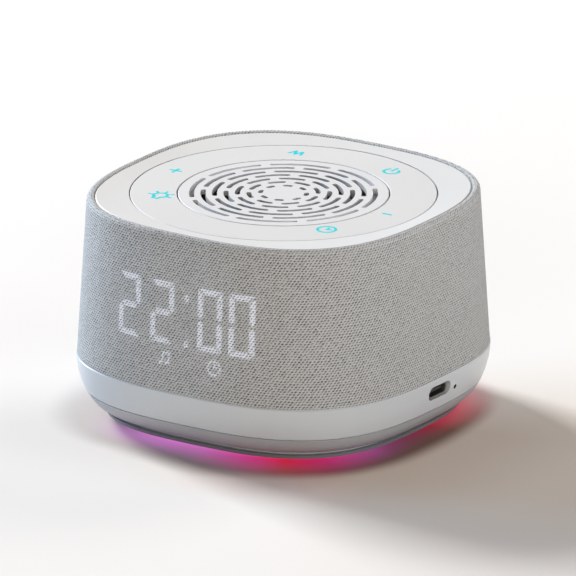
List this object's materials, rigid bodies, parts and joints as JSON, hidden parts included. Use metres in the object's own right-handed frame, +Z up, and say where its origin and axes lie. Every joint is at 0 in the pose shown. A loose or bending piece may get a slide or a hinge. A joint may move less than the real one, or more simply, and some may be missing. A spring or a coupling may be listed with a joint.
{
  "type": "white noise sound machine",
  "caption": "Rounded-square fabric-covered table-top sound machine with a slotted grille, a ring of lit press keys, a clock behind the fabric and a light ring under the base.",
  "frame": {"origin": "on the floor under the centre of the machine", "axes": "+Z up; the clock faces -Y; the USB-C inlet faces +X"},
  "size_m": [0.1022, 0.1022, 0.0622],
  "materials": {
    "fabric_weave": "fine weave, matte",
    "shell_plastic": "moulded, matte",
    "top_white": "fine satin",
    "key_white": "fine satin",
    "grille_white": "fine satin",
    "base_grey": "satin moulding",
    "pan_grey": "satin moulding",
    "foot_plate_grey": "moulded, matte",
    "light_diffuser": "opal, lit from inside",
    "rubber_grey": "soft moulded",
    "screw_steel": "zinc plated",
    "guide_clear": "clear, lit from below",
    "board_green": "solder mask",
    "switch_black": "moulded",
    "plunger_red": "moulded",
    "led_white": "phosphor lens",
    "basket_black": "powder coat",
    "yoke_zinc": "zinc plated",
    "magnet_ferrite": "ground ferrite",
    "former_kapton": "amber film",
    "coil_copper": "enamelled wire",
    "spider_cloth": "resin-dipped cloth",
    "cone_paper": "pressed pulp",
    "surround_rubber": "thin moulding",
    "gasket_foam": "closed-cell foam",
    "terminal_tag": "tinned tags on a strip",
    "film_diffuser": "white film",
    "reflector_white": "moulded white",
    "chip_black": "moulded packages and capacitor cans",
    "connector_cream": "moulded nylon",
    "usb_steel": "drawn shell",
    "cell_wrap": "shrink sleeve on a metal can",
    "pad_foam": "closed-cell foam",
    "light_board_white": "white solder mask",
    "ribbon_film": "laminated film",
    "lead_red": "PVC",
    "lead_black": "PVC"
  },
  "bodies": {
    "housing": {"fabric_sleeve": "fabric_weave", "inner_shell": "shell_plastic", "top_plate": "top_white", "grille": "grille_white", "base_ring": "base_grey", "base_pan": "pan_grey", "foot_plate": "foot_plate_grey", "light_ring": "light_diffuser", "rubber_feet": "rubber_grey", "housing_screws": "screw_steel", "deck_screws": "screw_steel", "key_board": "board_green", "tact_switches": "switch_black", "key_leds": "led_white", "key_board_screws": "screw_steel", "speaker_basket": "basket_black", "speaker_yoke": "yoke_zinc", "speaker_magnet": "magnet_ferrite", "speaker_front_plate": "yoke_zinc", "spider": "spider_cloth", "surround": "surround_rubber", "speaker_gasket": "gasket_foam", "speaker_terminals": "terminal_tag", "display_film": "film_diffuser", "display_reflector": "reflector_white", "display_board": "board_green", "display_leds": "led_white", "display_screws": "screw_steel", "main_board": "board_green", "board_chips": "chip_black", "board_connectors": "connector_cream", "board_screws": "screw_steel", "usb_c_shell": "usb_steel", "usb_c_tongue": "switch_black", "reset_switch": "switch_black", "battery_cell": "cell_wrap", "battery_pad": "pad_foam", "light_board": "light_board_white", "light_leds": "led_white", "key_ribbon": "ribbon_film", "display_ribbon": "ribbon_film", "light_ribbon": "ribbon_film", "battery_lead": "lead_red", "speaker_lead": "lead_black"},
    "keys": {"key_ring": "key_white", "icon_guides": "guide_clear"},
    "plungers": {"switch_plungers": "plunger_red"},
    "reset_button": {"reset_plunger": "connector_cream"},
    "cone_assembly": {"speaker_cone": "cone_paper", "dust_cap": "cone_paper", "coil_former": "former_kapton", "voice_coil": "coil_copper"}
  },
  "joints": [
    {"name": "key_press", "type": "slide", "parent": "housing", "child": "keys", "axis": [0, 0, -1], "range_m": [0, 0.00025], "stiffness_N_per_m": 4000},
    {"name": "plunger_press", "type": "slide", "parent": "housing", "child": "plungers", "axis": [0, 0, -1], "range_m": [0, 0.00025]},
    {"name": "reset_press", "type": "slide", "parent": "housing", "child": "reset_button", "axis": [-1, 0, 0], "range_m": [0, 0.00025], "stiffness_N_per_m": 200},
    {"name": "cone_stroke", "type": "slide", "parent": "housing", "child": "cone_assembly", "axis": [0, 0, 1], "range_m": [-0.001, 0.001], "stiffness_N_per_m": 1500, "deforming": ["surround", "spider"]}
  ],
  "couplings": [
    {"joint": "plunger_press", "follows": "key_press", "ratio": 1}
  ]
}
